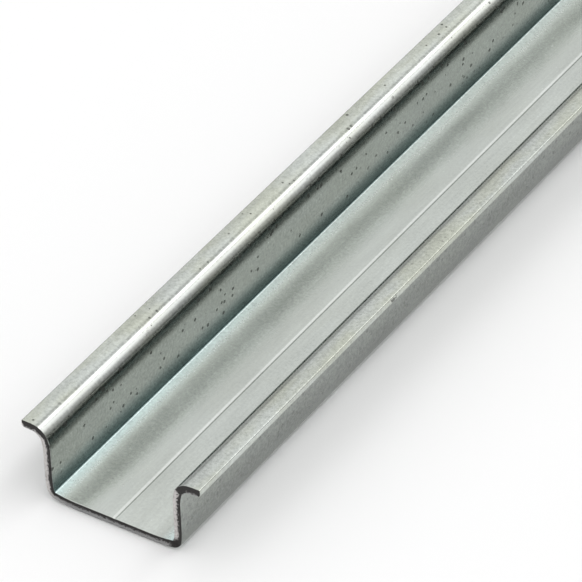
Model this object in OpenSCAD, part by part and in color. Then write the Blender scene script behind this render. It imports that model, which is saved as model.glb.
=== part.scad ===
// Top-hat mounting rail: a strip of sheet steel roll-formed into a channel with two
// outward flanges, open side up, cut to a plain length with no holes.
// The origin is on the floor under the middle of the rail. X runs across it, Y along it.

/* [Section] */
// Overall width across the two flanges
rail_w = 35; // [33:0.5:60]
// Width over the outsides of the two webs
channel_w = 27; // [18:0.5:29]
// Height from the floor to the tops of the flanges
rail_h = 15; // [7.5:0.5:25]
// Thickness of the sheet
sheet_t = 1.5; // [1:0.1:2.3]
// Inside radius of all four bends
bend_r = 1.7; // [0.8:0.1:2.6]

/* [Flange edges] */
// Radius of the upper corner of a flange edge
edge_top_r = 0.3; // [0.1:0.05:0.6]
// Radius of the lower corner of a flange edge
edge_under_r = 0.6; // [0.2:0.05:0.85]

/* [Centre line] */
// Width of the V-shaped line rolled along the base
line_w = 0.8; // [0.2:0.1:1.2]
// Depth of the line
line_d = 0.08; // [0.04:0.02:0.4]

/* [Length] */
// Length that the rail is cut to
rail_l = 500; // [100:50:2000]

/* [Hidden] */
$fn = 96;
// Outside radius of the bends
outer_r = bend_r + sheet_t;
// Outside face of a web, and where the base and a flange start to bend into it
web_x = channel_w / 2;
base_end_x = web_x - outer_r;
flange_start_x = web_x + bend_r;
// Underside of the flanges, and the ends of a web's flat stretch
flange_under_z = rail_h - sheet_t;
web_low_z = outer_r;
web_high_z = flange_under_z - bend_r;
// How far the line's cutter stands above the surface that it cuts
proud = 0.1;

// A quarter bend of the sheet about the origin, turned to fill the quadrant that starts at `turn`
module bend(turn) {
    intersection() {
        difference() {
            circle(outer_r);
            circle(bend_r);
        }
        rotate(turn) square(outer_r);
    }
}

// What rounding takes off a square corner at the origin that points to +X and +Y
module corner_waste(r) {
    translate([-r, -r]) difference() {
        square(r);
        circle(r);
    }
}

// The flat of one flange, from its bend to its rounded edge
module flange() {
    difference() {
        translate([flange_start_x, flange_under_z]) square([rail_w / 2 - flange_start_x, sheet_t]);
        translate([rail_w / 2, rail_h]) corner_waste(edge_top_r);
        translate([rail_w / 2, flange_under_z]) mirror([0, 1]) corner_waste(edge_under_r);
    }
}

// Half of the section: base, bend, web, bend and flange
module half_section() {
    square([base_end_x, sheet_t]);
    translate([base_end_x, outer_r]) bend(270);
    translate([web_x - sheet_t, web_low_z]) square([sheet_t, web_high_z - web_low_z]);
    translate([flange_start_x, web_high_z]) bend(90);
    flange();
}

// The V-shaped line in the top face of the base
module centre_line() {
    half_w = line_w / 2 * (1 + proud / line_d);
    translate([0, sheet_t]) polygon([[0, -line_d], [half_w, proud], [-half_w, proud]]);
}

module section() {
    difference() {
        union() {
            half_section();
            mirror([1, 0]) half_section();
        }
        centre_line();
    }
}

// The whole rail, extruded along Y about its middle
module rail() {
    color([0.76, 0.78, 0.76])
        translate([0, rail_l / 2, 0]) rotate([90, 0, 0]) linear_extrude(rail_l) section();
}

rail();
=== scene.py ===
import cmath
import math

import bpy
import numpy as np
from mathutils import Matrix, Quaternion, Vector


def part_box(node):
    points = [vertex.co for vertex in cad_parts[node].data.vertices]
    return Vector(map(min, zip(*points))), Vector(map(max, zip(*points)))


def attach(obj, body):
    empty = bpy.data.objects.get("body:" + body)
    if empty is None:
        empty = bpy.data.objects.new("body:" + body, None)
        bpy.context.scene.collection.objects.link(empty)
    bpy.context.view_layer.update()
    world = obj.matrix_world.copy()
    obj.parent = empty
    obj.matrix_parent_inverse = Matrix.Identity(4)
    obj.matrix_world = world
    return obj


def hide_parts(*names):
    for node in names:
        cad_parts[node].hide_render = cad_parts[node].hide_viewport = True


bl_info = {
    "name": "Top-hat rail",
    "version": (1, 0, 0),
    "blender": (4, 5, 0),
    "location": "View3D > Sidebar > Rail",
    "description": "A zinc-plated steel mounting rail and a small studio to show it in",
    "category": "Add Mesh",
}

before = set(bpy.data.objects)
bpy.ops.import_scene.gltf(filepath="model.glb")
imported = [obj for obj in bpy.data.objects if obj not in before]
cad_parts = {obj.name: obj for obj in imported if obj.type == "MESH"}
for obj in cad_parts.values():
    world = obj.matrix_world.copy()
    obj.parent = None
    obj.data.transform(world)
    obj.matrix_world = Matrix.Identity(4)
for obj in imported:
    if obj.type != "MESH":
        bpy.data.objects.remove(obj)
RAIL_LOW, RAIL_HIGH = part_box("rail")
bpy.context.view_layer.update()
MM = 0.001
# The arcs of a bend, as the degrees that each turns and its number of steps. A lower bend runs out of the
# base, turns tightly and runs out into a web, and an upper one goes from a web to a flange.
FOOT_ARCS = ((10.5, 5), (71, 16), (8.5, 5))
HEAD_ARCS = ((15.5, 8), (67, 24), (7.5, 5))
# Where the parts of the light tent rise and fall, in degrees from straight above towards +X
TENT_RISE = (-44, -20)
TENT_FALL = (-17, 3)
SOFTBOX = (5, 19, 20, 30)
PANEL = (26, 35, 42, 62)
LEFT_SIDE = (-70, -57)
RIGHT_SIDE = (70, 84)


# ---------------------------------------------------------------- sizes and colours

class RailSizes(bpy.types.PropertyGroup):
    """Sizes of the rail's section and of its cut ends"""
    width: bpy.props.FloatProperty(
        name="Width", description="Overall width across the flanges",
        default=RAIL_HIGH.x - RAIL_LOW.x, unit="LENGTH")
    height: bpy.props.FloatProperty(
        name="Height", description="Height from the floor to the flange tops",
        default=RAIL_HIGH.z - RAIL_LOW.z, unit="LENGTH")
    length: bpy.props.FloatProperty(
        name="Length", description="Length that the rail is cut to",
        default=RAIL_HIGH.y - RAIL_LOW.y, unit="LENGTH")
    channel: bpy.props.FloatProperty(
        name="Channel width", description="Width over the outsides of the two webs",
        default=27 * MM, unit="LENGTH")
    sheet: bpy.props.FloatProperty(
        name="Sheet", description="Thickness of the sheet", default=1.5 * MM, unit="LENGTH")
    foot_core: bpy.props.FloatProperty(
        name="Foot radius", description="Inside radius in the middle of the two lower bends",
        default=0.5 * MM, unit="LENGTH")
    head_core: bpy.props.FloatProperty(
        name="Head radius", description="Inside radius in the middle of the two upper bends",
        default=1.8 * MM, unit="LENGTH")
    foot_into_base: bpy.props.FloatProperty(
        name="Foot into base", description="Inside radius where a lower bend runs out into the base",
        default=23 * MM, unit="LENGTH")
    foot_into_web: bpy.props.FloatProperty(
        name="Foot into web", description="Inside radius where a lower bend runs out into a web",
        default=18 * MM, unit="LENGTH")
    head_run_out: bpy.props.FloatProperty(
        name="Head run-out", description="Inside radius where an upper bend runs out at both ends",
        default=7.5 * MM, unit="LENGTH")
    edge_top: bpy.props.FloatProperty(
        name="Edge, upper corner", description="Radius of the upper corner of a flange's edge",
        default=0.3 * MM, unit="LENGTH")
    edge_under: bpy.props.FloatProperty(
        name="Edge, lower corner", description="Radius of the lower corner of a flange's edge",
        default=0.6 * MM, unit="LENGTH")
    line_width: bpy.props.FloatProperty(
        name="Line width", description="Width of the line rolled along the base",
        default=0.8 * MM, unit="LENGTH")
    line_skew: bpy.props.FloatProperty(
        name="Line skew", description="How far the line's bottom lies off its middle",
        default=0.12 * MM, unit="LENGTH")
    line_depth: bpy.props.FloatProperty(
        name="Line depth", description="Depth of the line rolled along the base",
        default=0.055 * MM, unit="LENGTH")
    cut_dragged: bpy.props.FloatProperty(
        name="Cut, dragged side", description="Rounding where the blade dragged the sheet in",
        default=0.22 * MM, unit="LENGTH")
    cut_clean: bpy.props.FloatProperty(
        name="Cut, clean side", description="Rounding where the blade left the sheet",
        default=0.1 * MM, unit="LENGTH")


class RailFinish(bpy.types.PropertyGroup):
    """Colours and gloss of the plated steel"""
    zinc: bpy.props.FloatVectorProperty(
        name="Zinc", description="Colour of the clean plating",
        default=(0.587, 0.62, 0.59), subtype="COLOR", min=0, max=1)
    film: bpy.props.FloatVectorProperty(
        name="Film", description="Colour where the passivating film is thicker",
        default=(0.55, 0.575, 0.5), subtype="COLOR", min=0, max=1)
    # frosty plating at the foot of a web, partly a painted highlight: light and bluish, mixed in more
    # strongly near the near end
    frost_and_highlight: bpy.props.FloatVectorProperty(
        name="Frost", description="Colour of the frosty band at the foot of a web",
        default=(0.75, 0.88, 0.87), subtype="COLOR", min=0, max=1)
    # painted shade: a dark teal that stands in for the dark reflection low on the inside of a web, above its
    # foot
    painted_shade: bpy.props.FloatVectorProperty(
        name="Shade", description="Colour of the thin plating low on the inside of a web",
        default=(0.1, 0.22, 0.22), subtype="COLOR", min=0, max=1)
    speck: bpy.props.FloatVectorProperty(
        name="Specks", description="Colour of the dark specks in the plating",
        default=(0.04, 0.04, 0.035), subtype="COLOR", min=0, max=1)
    nick: bpy.props.FloatVectorProperty(
        name="Nick", description="Place of a nick in a flange, in millimetres",
        default=(17.5, -191.5, 14.3), subtype="XYZ")
    torn: bpy.props.FloatVectorProperty(
        name="Torn steel", description="Colour of the cut's broken side across the base and flanges",
        default=(0.32, 0.32, 0.32), subtype="COLOR", min=0, max=1)
    torn_web: bpy.props.FloatVectorProperty(
        name="Torn steel, webs", description="Colour of the cut's broken side up the webs",
        default=(0.56, 0.54, 0.53), subtype="COLOR", min=0, max=1)
    # near-black for the side of the cut that leans up and towards +X
    dragged: bpy.props.FloatVectorProperty(
        name="Dragged steel", description="Colour of the cut's side that the blade dragged along",
        default=(0.045, 0.043, 0.042), subtype="COLOR", min=0, max=1)
    smear: bpy.props.FloatVectorProperty(
        name="Smear", description="Middle of the dark smear at a corner of the cut, in millimetres",
        default=(13.1, 0, 0.6), subtype="XYZ")
    # painted shade: the plating on the upright webs darkened against the flanges and base
    web_painted_shade: bpy.props.FloatProperty(
        name="Dull webs", description="How much darker the plating is on the upright webs",
        default=0.4, min=0, max=1, subtype="FACTOR")
    # painted highlight: the upper bends and the left side of the centre line mixed towards white
    painted_highlight: bpy.props.FloatProperty(
        name="Polished bends", description="How much brighter the rolls left the upper bends",
        default=0.26, min=0, max=1, subtype="FACTOR")
    roughness: bpy.props.FloatProperty(
        name="Roughness", description="Roughness of the clean plating",
        default=0.2, min=0, max=1, subtype="FACTOR")


class StudioSettings(bpy.types.PropertyGroup):
    """Floor, light and camera"""
    floor: bpy.props.FloatVectorProperty(
        name="Floor", description="Colour of the floor",
        default=(0.93, 0.93, 0.93), subtype="COLOR", min=0, max=1)
    tent_left: bpy.props.FloatProperty(
        name="Tent, left", description="Level of the even light at the left", default=0.81, min=0)
    tent_middle: bpy.props.FloatProperty(
        name="Tent, middle", description="Level of the even light left of overhead", default=1.09, min=0)
    tent_right: bpy.props.FloatProperty(
        name="Tent, right", description="Level of the even light overhead and right", default=0.59, min=0)
    far_left: bpy.props.FloatProperty(
        name="Far left", description="Share of the light that is left near the left horizon",
        default=0.5, min=0, max=1, subtype="FACTOR")
    far_right: bpy.props.FloatProperty(
        name="Far right", description="Share of the light that is left near the right horizon",
        default=0.15, min=0, max=1, subtype="FACTOR")
    softbox: bpy.props.FloatProperty(
        name="Softbox", description="Brightness of the narrow softbox overhead", default=2.4, min=0)
    panel: bpy.props.FloatProperty(
        name="Panel", description="Brightness of the wide panel over the right", default=0.75, min=0)
    azimuth: bpy.props.FloatProperty(
        name="Azimuth", description="Where the camera stands, from straight in front of the near end",
        default=math.radians(34.188), subtype="ANGLE")
    elevation: bpy.props.FloatProperty(
        name="Elevation", description="How far above the horizon the camera stands",
        default=math.radians(38.121), subtype="ANGLE")
    roll: bpy.props.FloatProperty(
        name="Roll", description="How far the camera is turned about its own line of sight",
        default=math.radians(-2.147), subtype="ANGLE")
    distance: bpy.props.FloatProperty(
        name="Distance", description="From the camera to the point it looks at",
        default=0.8577, unit="LENGTH")
    lens: bpy.props.FloatProperty(
        name="Lens", description="Focal length on a 36 mm sensor", default=316.8, unit="CAMERA")
    aim_along: bpy.props.FloatProperty(
        name="Aim along", description="From the near end to the point the camera looks at",
        default=50.87 * MM, unit="LENGTH")
    aim_across: bpy.props.FloatProperty(
        name="Aim across", description="From the middle plane to the point the camera looks at",
        default=1.96 * MM, unit="LENGTH")


# ---------------------------------------------------------------- shader nodes

class Value:
    """A node's output that takes part in plain arithmetic: each operation adds a Math node"""

    def __init__(self, shader, socket):
        self.shader = shader
        self.socket = socket

    def math(self, operation, a, b):
        return self.shader.node("Math", {"operation": operation}, {0: a, 1: b})

    def __add__(self, other):
        return self.math("ADD", self, other)

    def __sub__(self, other):
        return self.math("SUBTRACT", self, other)

    def __rsub__(self, other):
        return self.math("SUBTRACT", other, self)

    def __mul__(self, other):
        return self.math("MULTIPLY", self, other)

    __radd__ = __add__
    __rmul__ = __mul__


class Shader:
    """Adds nodes to one node tree"""

    def __init__(self, tree):
        self.tree = tree
        tree.nodes.clear()

    def node(self, kind, settings, sockets, output=0):
        """Adds a node: its type, its settings, then its sockets' values or links"""
        made = self.tree.nodes.new("ShaderNode" + kind)
        for name, value in settings.items():
            setattr(made, name, value)
        for name, value in sockets.items():
            if isinstance(value, Value):
                self.tree.links.new(value.socket, made.inputs[name])
            else:
                made.inputs[name].default_value = value
        return Value(self, made.outputs[output]) if made.outputs else made

    def step(self, value, low, high):
        """0 below low, 1 above high, smooth between"""
        return self.node("MapRange", {"interpolation_type": "SMOOTHSTEP"},
                         {"Value": value, "From Min": low, "From Max": high})

    def band(self, value, low, full, fade, high):
        """1 from full to fade, 0 below low and above high, smooth between"""
        return self.step(value, low, full) * (1 - self.step(value, fade, high))

    def mix(self, factor, a, b):
        """Colour a where factor is 0, b where it is 1"""
        return self.node("Mix", {"data_type": "RGBA"}, {0: factor, 6: a, 7: b}, 2)

    def scaled(self, vector, factors):
        """A vector times another, axis by axis"""
        return self.node("VectorMath", {"operation": "MULTIPLY"}, {0: vector, 1: factors})

    def mark(self, name):
        """A value that the mesh carries at its points"""
        return self.node("Attribute", {"attribute_name": name}, {}, "Fac")

    def level(self, colour, factor):
        """A colour, brighter or darker by a factor"""
        return self.node("VectorMath", {"operation": "SCALE"}, {0: colour, "Scale": factor})

    def larger(self, a, b):
        """The larger of two values"""
        return self.node("Math", {"operation": "MAXIMUM"}, {0: a, 1: b})

    def size_of(self, value):
        """A value without its sign"""
        return self.node("Math", {"operation": "ABSOLUTE"}, {0: value})

    def specks(self, vector, density, rarity, growth):
        """1 inside scattered round specks, whose radius is a cell's own chance above rarity, times growth"""
        cells = {"Vector": vector, "Scale": density}
        reach = self.node("TexVoronoi", {}, cells, "Distance") * (1 / density)
        chance = self.node("SeparateXYZ", {}, {"Vector": self.node("TexVoronoi", {}, cells, "Color")})
        return self.step((chance - rarity) * growth - reach, 0, 0.05)

    def noise(self, vector, scale, detail=2.0, roughness=0.5):
        """Noise from 0 to 1"""
        return self.node("TexNoise", {}, {"Vector": vector, "Scale": scale, "Detail": detail,
                                          "Roughness": roughness})


def rgba(colour):
    """An opaque colour, as a socket takes it"""
    return (*colour, 1.0)


class Places:
    """Where a point is on the rail: its place in millimetres, and masks that are 1 on a part of the rail"""

    def __init__(self, s, size):
        self.cut, self.lean, self.upright = (s.mark(name) for name in ("cut", "lean", "upright"))
        self.point = s.scaled(s.node("TexCoord", {}, {}, "Object"), (1 / MM, 1 / MM, 1 / MM))
        self.x, self.y, self.z = (s.node("SeparateXYZ", {}, {"Vector": self.point}, axis) for axis in "XYZ")
        sheet, top = size.sheet / MM, size.height / MM
        web, tip = size.channel / 2 / MM - sheet, size.width / 2 / MM
        near = -size.length / 2 / MM
        out = s.size_of(self.x)
        not_edge = 1 - s.step(out, tip - 0.7, tip - 0.3)

        # the sheet's two sides: the one away from the channel, and the one that looks up
        self.outside = s.step(out, web + 0.4, web + 0.9)
        self.flange = s.step(self.z, top - 2.6, top - 1.6)
        self.topside = s.step(self.z, sheet - 0.6, sheet - 0.2) * (1 - self.outside * (1 - self.flange))
        # from the base up to the flanges: the centre line's left side, the foot, the web and the head bend
        # the centre line's left side, which carries a painted highlight
        self.line = (1 - s.step(s.size_of(self.x + 0.14), 0.1, 0.28)) * self.topside
        self.foot = (s.step(out, web - 3, web - 0.6) * self.topside
                     * (1 - s.step(self.z, sheet + 0.5, sheet + 1.3)))
        self.above_foot = s.step(self.z, sheet + 1, sheet + 3)
        self.web = s.step(self.upright, 0.55, 0.95) * not_edge
        # where the painted shade goes: low on the inside of a web
        self.low_web = (s.step(self.upright, 0.3, 0.75) * (1 - s.step(self.z, sheet + 0.9, sheet + 5))
                        * (1 - self.outside))
        self.head = s.band(self.upright, 0.28, 0.5, 0.6, 0.9) * not_edge * self.above_foot
        # fading over the height, and over the first stretch from the near end
        self.low = 1 - s.step(self.z, 0, top - 3)
        self.near_end = 1 - s.step(self.y, near + 5, near + 100)


class Noises:
    """What the rolls and the plating bath leave on the steel, each around 0"""

    def __init__(self, s, point):
        self.lines = s.noise(s.scaled(point, (1, 0.02, 1)), 3.5, 3, 0.6) - 0.5
        self.grain = s.noise(point, 1.9, 2, 0.65) - 0.5
        self.cloud = s.noise(s.scaled(point, (1, 0.35, 1)), 0.16, 3, 0.6) - 0.5
        self.film = s.noise(s.scaled(point, (1, 0.2, 1)), 0.3, 2, 0.5) - 0.5
        self.broken = s.noise(point, 2.4, 3, 0.7) - 0.5


def dark_specks(s, on, noises, finish):
    """A mask of small specks where the bath missed, mostly on the webs, and of one nick"""
    specks = s.specks(on.point, 0.9, 0.6 - on.web * 0.1, 0.95) * on.above_foot
    specks = specks * s.larger(s.step(noises.cloud, -0.03, 0.03), on.web) * (1 - s.step(on.x, 5, 10) * 0.7)
    from_nick = s.node("VectorMath", {"operation": "SUBTRACT"}, {0: on.point, 1: finish.nick})
    reach = s.node("VectorMath", {"operation": "LENGTH"}, {0: s.scaled(from_nick, (1, 0.45, 1.2))}, "Value")
    return s.larger(specks, 1 - s.step(reach + noises.grain * 1.5, 0.35, 0.6))


def zinc_colour(s, on, noises, specks, finish):
    """The plating's colour: frosty and partly a painted highlight at the webs' feet, painted shade on the
    webs and low inside them, and a painted highlight on the upper bends and the centre line
    """
    filmed = s.step(noises.cloud, -0.15, 0.15) * (0.15 + 0.85 * on.flange)
    zinc = s.mix(filmed, rgba(finish.zinc), rgba(finish.film))
    # frosty band at the webs' feet, partly a painted highlight, stronger near the near end
    zinc = s.mix(on.foot * (0.2 + 0.7 * on.near_end), zinc, rgba(finish.frost_and_highlight))
    # painted shade low on the inside of the webs, above their feet
    zinc = s.mix(on.low_web * 0.65, zinc, rgba(finish.painted_shade))
    # painted shade: the webs darker than the flanges and base, their outer faces darker towards the floor
    # and a little lighter near the top
    web_shade = finish.web_painted_shade + on.outside * (0.22 * on.low - 0.05)
    zinc = s.mix(on.web * web_shade, zinc, (0, 0, 0, 1))
    # painted highlight on the upper bends and on the centre line's left side
    zinc = s.mix(s.larger(on.head, on.line) * finish.painted_highlight, zinc, (1, 1, 1, 1))
    coarse = (0.3 + on.foot * 0.5 + on.above_foot * 0.35 + on.web * 0.35) * (1 - on.head * 0.6)
    zinc = s.level(zinc, 1 + noises.lines * 0.16 + noises.grain * coarse + noises.film * 0.3)
    return s.mix(specks * 0.7, zinc, rgba(finish.speck))


def cut_colour(s, on, noises, finish):
    """The cut's colour: near-black on the side that leans up and towards +X, grey and broken on the other"""
    # near-black where the cut leans up and towards +X, with an uneven edge
    dragged = s.step(on.lean + noises.broken * 2.5 + on.flange * 0.55, 0.0, 0.2)
    from_smear = s.node("VectorMath", {"operation": "DISTANCE"}, {
        0: s.scaled(on.point, (1, 0, 1)), 1: finish.smear}, "Value")
    dragged = s.larger(dragged, 1 - s.step(from_smear + noises.broken * 2, 1.7, 2.6))
    torn = s.mix(on.upright, rgba(finish.torn), rgba(finish.torn_web))
    return s.mix(dragged, s.level(torn, 1 + noises.broken * 1.6), rgba(finish.dragged))


def plated_steel(finish, size):
    """Bright zinc over rolled steel sheet, with bare dark steel where the sheet was cut"""
    made = bpy.data.materials.new("zinc plated steel")
    made.use_nodes = True
    s = Shader(made.node_tree)
    on = Places(s, size)
    noises = Noises(s, on.point)
    specks = dark_specks(s, on, noises, finish)
    bare = s.step(on.cut + noises.broken * 0.4, 0.35, 0.75)

    colour = s.mix(bare, zinc_colour(s, on, noises, specks, finish), cut_colour(s, on, noises, finish))
    roughness = (finish.roughness + on.foot * 0.16 + noises.grain * 0.25 + noises.film * 0.12
                 + specks * 0.2 + bare * 0.3)
    height = (noises.grain * (0.6 + 1.5 * on.foot) + noises.lines * 0.3 - specks * 0.8
              + bare * noises.broken * 14)
    bumped = s.node("Bump", {}, {"Height": height, "Strength": 0.5, "Distance": 0.01 * MM})
    surface = s.node("BsdfPrincipled", {}, {
        "Base Color": colour, "Metallic": 1.0, "Roughness": roughness, "Normal": bumped})
    s.node("OutputMaterial", {}, {"Surface": surface})
    return made


# ---------------------------------------------------------------- the rail's mesh

def points(x, z):
    """Points of the section as rows, from their places across and up. Either may be one number."""
    return np.stack(np.broadcast_arrays(x, z), 1)


def arc(centre, radius, start, stop, steps):
    """Points on an arc between two angles in degrees, both ends included"""
    turn = np.radians(np.linspace(start, stop, steps + 1))
    return points(centre[0] + radius * np.cos(turn), centre[1] + radius * np.sin(turn))


def along(start, stop, steps, guard):
    """Places from start to stop, with one more close to each end that keeps the flat between them flat"""
    inner = np.linspace(start, stop, steps + 1)[1:-1]
    near = math.copysign(guard, stop - start)
    return np.concatenate([[start, start + near], inner, [stop - near, stop]])


def bend(corner, heading, side, radii, arcs):
    """Points and normals of a face that turns a quarter near a corner, in arcs that follow each other.
    Angles are in degrees, side is 1 to turn left and -1 to turn right, and a normal is on the left."""
    place, places, headings = 0j, [0j], [heading]
    for radius, (turn, steps) in zip(radii, arcs):
        for _ in range(steps):
            part = side * turn / steps
            chord = 2 * radius * math.sin(abs(math.radians(part)) / 2)
            place += cmath.rect(chord, math.radians(headings[-1] + part / 2))
            places.append(place)
            headings.append(headings[-1] + part)
    ahead = cmath.rect(1, math.radians(heading))
    reach = (place * ahead.conjugate()).real
    places = np.array(places) + complex(*corner) - reach * ahead
    normals = np.exp(1j * np.radians(np.array(headings) + 90))
    return points(places.real, places.imag), points(normals.real, normals.imag)


def half_strip(size):
    """Matching points on the sheet's two faces, from the middle of the base to a flange's edge.
    The inner face is the one that looks into the channel, and goes on to the flange's top."""
    guard = 0.06 * MM
    edge_steps = 6
    web_x = size.channel / 2 - size.sheet
    under = size.height - size.sheet
    tip = size.width / 2

    foot_radii = (size.foot_into_base, size.foot_core, size.foot_into_web)
    head_radii = np.array([size.head_run_out, size.head_core, size.head_run_out]) + size.sheet
    foot, foot_normal = bend((web_x, size.sheet), 0, 1, foot_radii, FOOT_ARCS)
    head, head_normal = bend((web_x, size.height), 90, -1, head_radii, HEAD_ARCS)

    half_line = size.line_width / 2
    base_x = np.concatenate([half_line * np.array([0, 0.08, 0.9]),
                             along(half_line * 1.1, foot[0, 0], 5, guard)[:-1]])
    web_z = along(foot[-1, 1], head[0, 1], 3, guard)[1:-1]
    sunk = size.line_depth * np.clip(1 - base_x / half_line, 0, 1)
    top = (tip - size.edge_top, size.height - size.edge_top)
    low = (tip - size.edge_under, under + size.edge_under)
    inner = [
        points(base_x, size.sheet - sunk), foot, points(web_x, web_z), head,
        points(along(head[-1, 0], top[0], 2, guard)[1:-1], size.height),
        arc(top, size.edge_top, 90, 0, edge_steps)]
    outer = [
        points(base_x, 0), foot - foot_normal * size.sheet,
        points(web_x + size.sheet, web_z), head - head_normal * size.sheet,
        points(along(head[-1, 0], low[0], 2, guard)[1:-1], under),
        arc(low, size.edge_under, -90, 0, edge_steps)]
    return np.concatenate(inner), np.concatenate(outer)


def whole_strip(size):
    """The inner and outer face from the left flange's edge to the right one's"""
    mirror = np.array([-1, 1])
    inner, outer = (np.concatenate([face[:0:-1] * mirror, face]) for face in half_strip(size))
    middle = len(inner) // 2
    inner[middle - 1:middle + 2, 0] += size.line_skew
    return inner, outer


def outward(loop):
    """Unit normals of a closed outline that runs clockwise, at its points"""
    ahead = np.roll(loop, -1, 0) - loop
    ahead /= np.linalg.norm(ahead, axis=1, keepdims=True)
    tangent = ahead + np.roll(ahead, 1, 0)
    tangent /= np.linalg.norm(tangent, axis=1, keepdims=True)
    return np.stack([-tangent[:, 1], tangent[:, 0]], 1)


class RailMesh:
    """Collects the rail's points, faces, marks and places in the texture map. The marks say how far a
    point belongs to the cut, how much its face leans up and towards +X, and how upright the face is."""

    across = 6        # faces over the thickness of a cut end
    rim_steps = 5     # faces round the rim of a cut end
    piece = 10 * MM   # spacing of the rings along the rail
    # the texture map: where the column of each half starts, and its rows for a cut end and the long faces
    columns = {-1: 0.005, 1: 0.505}
    column_width = 0.49
    end_rows = (0.01, 0.06)
    long_rows = (0.08, 0.99)

    def __init__(self, size):
        self.size = size
        self.inner, self.outer = whole_strip(size)
        share = (np.arange(1, self.across) / self.across)[:, None]
        right_edge = self.inner[-1] * (1 - share) + self.outer[-1] * share
        left_edge = self.outer[0] * (1 - share) + self.inner[0] * share
        self.loop = np.concatenate([self.inner, right_edge, self.outer[::-1], left_edge])
        self.normal = outward(self.loop)
        self.lean = self.normal @ np.array([math.sqrt(0.5), math.sqrt(0.5)])
        dragged = np.clip(self.lean * 2 + 0.5, 0, 1)
        self.rounding = size.cut_clean + (size.cut_dragged - size.cut_clean) * dragged
        self.upright = np.abs(self.normal[:, 0])
        self.wobble()
        self.points, self.faces, self.places = [], [], []
        self.cuts, self.leans, self.uprights, self.ways = [], [], [], []
        self.measure_loop()

    def measure_loop(self):
        """Each point's share of the way round the outline from the underside's middle, and the step
        to its next point, for the texture map"""
        steps = np.linalg.norm(np.roll(self.loop, -1, 0) - self.loop, axis=1)
        start = len(self.inner) + self.across - 1 + len(self.outer) // 2
        self.share = np.roll(np.cumsum(np.roll(steps, -start)) - np.roll(steps, -start), start)
        self.share, self.step = self.share / steps.sum(), steps / steps.sum()

    def wobble(self):
        """Makes the rounding of the cut uneven round the rim"""
        dice = np.random.default_rng(7)
        knots = dice.uniform(0.55, 1.45, 60)
        here = np.linspace(0, len(knots), len(self.loop), endpoint=False)
        self.rounding *= np.interp(here, np.arange(len(knots) + 1), np.append(knots, knots[0]))
        self.rounding = np.minimum(self.rounding, self.size.cut_dragged)

    def ring(self, inset, y, cut, way):
        """Adds the outline, drawn in by inset, at y. Returns its first point's number.
        `way` is the way from the rail's middle over the surface, for the texture map."""
        first = len(self.points)
        drawn = self.loop - self.normal * np.broadcast_to(inset, len(self.loop))[:, None]
        y = np.broadcast_to(y, len(self.loop))
        self.points.extend(zip(drawn[:, 0], y, drawn[:, 1]))
        self.cuts.extend([cut] * len(drawn))
        self.leans.extend(self.lean)
        self.uprights.extend(self.upright)
        self.ways.extend(np.broadcast_to(way, len(self.loop)))
        return first

    def rim(self, end):
        """The rings of one end's rim, from the long faces to the cut"""
        rings = []
        for turn in np.linspace(0, math.pi / 2, self.rim_steps + 1):
            back = self.rounding * (1 - math.sin(turn))
            way = self.size.length / 2 + self.rounding * (turn - 1)
            rings.append(self.ring(self.rounding * (1 - math.cos(turn)),
                                   end * (self.size.length / 2 - back), math.sin(turn) ** 2, way))
        return rings

    def place(self, end, share, rows, height):
        """Adds a face corner's place in the map, from its shares of a column's width and of its rows"""
        low, high = rows
        self.places.append((self.columns[end] + self.column_width * share, low + (high - low) * height))

    def skin(self, a, b):
        """Faces between two rings, a at the smaller y. In the map their columns begin and end
        at the underside's middle."""
        count = len(self.loop)
        end = -1 if self.points[b][1] <= 1e-9 else 1
        longest = self.size.length / 2 + self.size.cut_dragged
        for i in range(count):
            j = (i + 1) % count
            face = (a + i, a + j, b + j, b + i)
            self.faces.append(face)
            for point, step in zip(face, (0, self.step[i], self.step[i], 0)):
                self.place(end, self.share[i] + step, self.long_rows, self.ways[point] / longest)

    def cap(self, first, end):
        """The cut face inside the ring that starts at point `first`"""
        stations = len(self.inner)
        grid = np.zeros((self.across + 1, stations), int)
        grid[0] = first + np.arange(stations)
        outer_start = first + stations + self.across - 1
        grid[-1] = outer_start + np.arange(stations)[::-1]
        for row in range(1, self.across):
            grid[row, -1] = first + stations + row - 1
            grid[row, 0] = outer_start + stations + (self.across - 1 - row)
            share = row / self.across
            for i in range(1, stations - 1):
                a, b = grid[0, i], grid[-1, i]
                grid[row, i] = len(self.points)
                self.points.append(tuple(np.array(self.points[a]) * (1 - share)
                                         + np.array(self.points[b]) * share))
                self.cuts.append(1.0)
                for values in (self.leans, self.uprights):
                    values.append(values[a] * (1 - share) + values[b] * share)
        middle = (self.inner + self.outer) / 2
        way = np.append(0, np.cumsum(np.linalg.norm(np.diff(middle, axis=0), axis=1)))
        for row in range(self.across):
            for i in range(stations - 1):
                corners = [(row, i), (row + 1, i), (row + 1, i + 1), (row, i + 1)][::-end]
                self.faces.append(tuple(int(grid[corner]) for corner in corners))
                for across, station in corners:
                    self.place(end, way[station] / way[-1], self.end_rows, across / self.across)

    def build(self):
        """The finished mesh"""
        near = self.rim(-1)[::-1]
        reach = self.size.length / 2 - self.size.cut_dragged
        steps = round(2 * reach / self.piece)
        middle = [self.ring(0, y, 0.0, abs(y)) for y in np.linspace(-reach, reach, steps + 1)[1:-1]]
        far = self.rim(1)
        rings = near + middle + far
        for a, b in zip(rings, rings[1:]):
            self.skin(a, b)
        self.cap(near[0], -1)
        self.cap(far[-1], 1)
        mesh = bpy.data.meshes.new("rail")
        mesh.from_pydata(self.points, [], self.faces)
        for name, values in (("cut", self.cuts), ("lean", self.leans), ("upright", self.uprights)):
            mesh.attributes.new(name, "FLOAT", "POINT").data.foreach_set("value", values)
        mesh.uv_layers.new(name="OFBake").data.foreach_set("uv", np.array(self.places).ravel())
        mesh.shade_smooth()
        mesh.validate()
        return mesh


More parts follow.
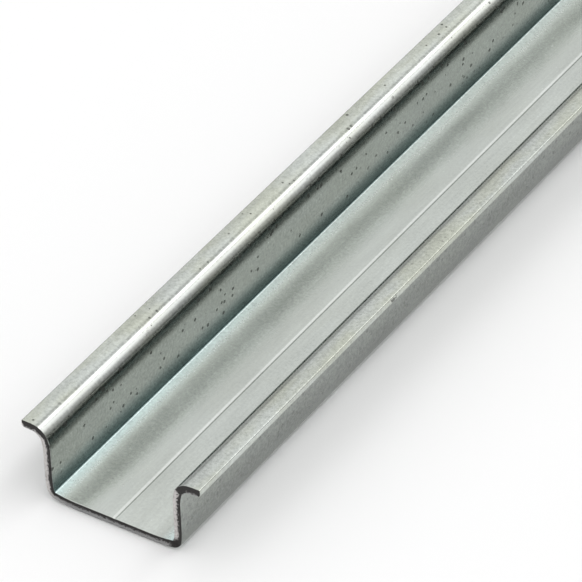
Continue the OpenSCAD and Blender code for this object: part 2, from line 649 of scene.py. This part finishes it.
# ---------------------------------------------------------------- operators

class RAIL_OT_rail(bpy.types.Operator):
    """Make the rail, which stands for the plain solid of the frame"""
    bl_idname = "rail.make_rail"
    bl_label = "Rail"

    def execute(self, context):
        size = context.scene.rail_sizes
        rail = bpy.data.objects.new("top_hat_rail", RailMesh(size).build())
        context.scene.collection.objects.link(rail)
        rail.data.materials.append(plated_steel(context.scene.rail_finish, size))
        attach(rail, "root")
        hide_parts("rail")
        return {"FINISHED"}


def matt(name, colour):
    """A plain matt material"""
    made = bpy.data.materials.new(name)
    made.use_nodes = True
    s = Shader(made.node_tree)
    surface = s.node("BsdfDiffuse", {}, {"Color": rgba(colour)})
    s.node("OutputMaterial", {}, {"Surface": surface})
    return made


class RAIL_OT_studio(bpy.types.Operator):
    """Make the floor, the light and the camera"""
    bl_idname = "rail.make_studio"
    bl_label = "Studio"

    def execute(self, context):
        studio = context.scene.rail_studio
        self.floor(context.scene, studio)
        self.light(context.scene, studio)
        self.camera(context.scene, studio)
        context.scene.view_settings.view_transform = "Standard"
        return {"FINISHED"}

    def floor(self, scene, studio):
        """A wide plain floor, just clear of the rail's underside"""
        half, height = 30, -0.2 * MM
        corners = ((-half, -half), (half, -half), (half, half), (-half, half))
        mesh = bpy.data.meshes.new("floor")
        mesh.from_pydata([(x, y, height) for x, y in corners], [], [(0, 1, 2, 3)])
        mesh.materials.append(matt("floor", studio.floor))
        floor = bpy.data.objects.new("floor", mesh)
        scene.collection.objects.link(floor)

    def light(self, scene, studio):
        """A light tent: even at the left, with a softbox and a wide panel over the right, and dark sides.
        Its brightness goes by the angle that a direction leans from straight above towards +X."""
        scene.world = bpy.data.worlds.new("light tent")
        scene.world.use_nodes = True
        s = Shader(scene.world.node_tree)
        place = s.node("TexCoord", {}, {}, "Generated")
        across = s.node("SeparateXYZ", {}, {"Vector": place}, "X")
        up = s.node("SeparateXYZ", {}, {"Vector": place}, "Z")
        lean = s.node("Math", {"operation": "ARCTAN2"}, {0: across, 1: up}) * math.degrees(1)
        tent = (studio.tent_left + (studio.tent_middle - studio.tent_left) * s.step(lean, *TENT_RISE)
                - (studio.tent_middle - studio.tent_right) * s.step(lean, *TENT_FALL))
        lights = tent + s.band(lean, *SOFTBOX) * studio.softbox + s.band(lean, *PANEL) * studio.panel
        sides = ((studio.far_left + (1 - studio.far_left) * s.step(lean, *LEFT_SIDE))
                 * (1 - (1 - studio.far_right) * s.step(lean, *RIGHT_SIDE)))
        sky = s.node("Background", {}, {"Color": (1, 1, 1, 1), "Strength": lights * sides})
        s.node("OutputWorld", {}, {"Surface": sky})

    def camera(self, scene, studio):
        """A long lens that looks down on the near end from the right"""
        flat = math.cos(studio.elevation)
        back = Vector((math.sin(studio.azimuth) * flat, -math.cos(studio.azimuth) * flat,
                       math.sin(studio.elevation)))
        aim = Vector((studio.aim_across, RAIL_LOW.y + studio.aim_along, RAIL_HIGH.z))
        lens = bpy.data.cameras.new("camera")
        lens.lens = studio.lens
        lens.sensor_width = 36
        lens.clip_start = 0.05
        lens.clip_end = 200
        camera = bpy.data.objects.new("camera", lens)
        camera.location = aim + back * studio.distance
        camera.rotation_mode = "QUATERNION"
        roll = Quaternion((0, 0, 1), studio.roll)
        camera.rotation_quaternion = (-back).to_track_quat("-Z", "Y") @ roll
        scene.collection.objects.link(camera)
        scene.camera = camera


class RAIL_PT_panel(bpy.types.Panel):
    """The rail's sizes, finish and studio, and the buttons that make them"""
    bl_label = "Top-hat rail"
    bl_idname = "RAIL_PT_panel"
    bl_space_type = "VIEW_3D"
    bl_region_type = "UI"
    bl_category = "Rail"

    def draw(self, context):
        for group, operator in GROUPS:
            box = self.layout.box()
            settings = getattr(context.scene, group)
            for name in settings.bl_rna.properties.keys():
                if name not in ("name", "rna_type"):
                    box.prop(settings, name)
            if operator:
                box.operator(operator)


GROUPS = (
    ("rail_sizes", None),
    ("rail_finish", RAIL_OT_rail.bl_idname),
    ("rail_studio", RAIL_OT_studio.bl_idname),
)
SETTINGS = {"rail_sizes": RailSizes, "rail_finish": RailFinish, "rail_studio": StudioSettings}
CLASSES = (RailSizes, RailFinish, StudioSettings, RAIL_OT_rail, RAIL_OT_studio, RAIL_PT_panel)


def register():
    for cls in CLASSES:
        bpy.utils.register_class(cls)
    for name, group in SETTINGS.items():
        setattr(bpy.types.Scene, name, bpy.props.PointerProperty(type=group))


def unregister():
    for name in SETTINGS:
        delattr(bpy.types.Scene, name)
    for cls in reversed(CLASSES):
        bpy.utils.unregister_class(cls)


def main():
    register()
    bpy.ops.rail.make_rail()
    bpy.ops.rail.make_studio()


if __name__ == "__main__":
    main()
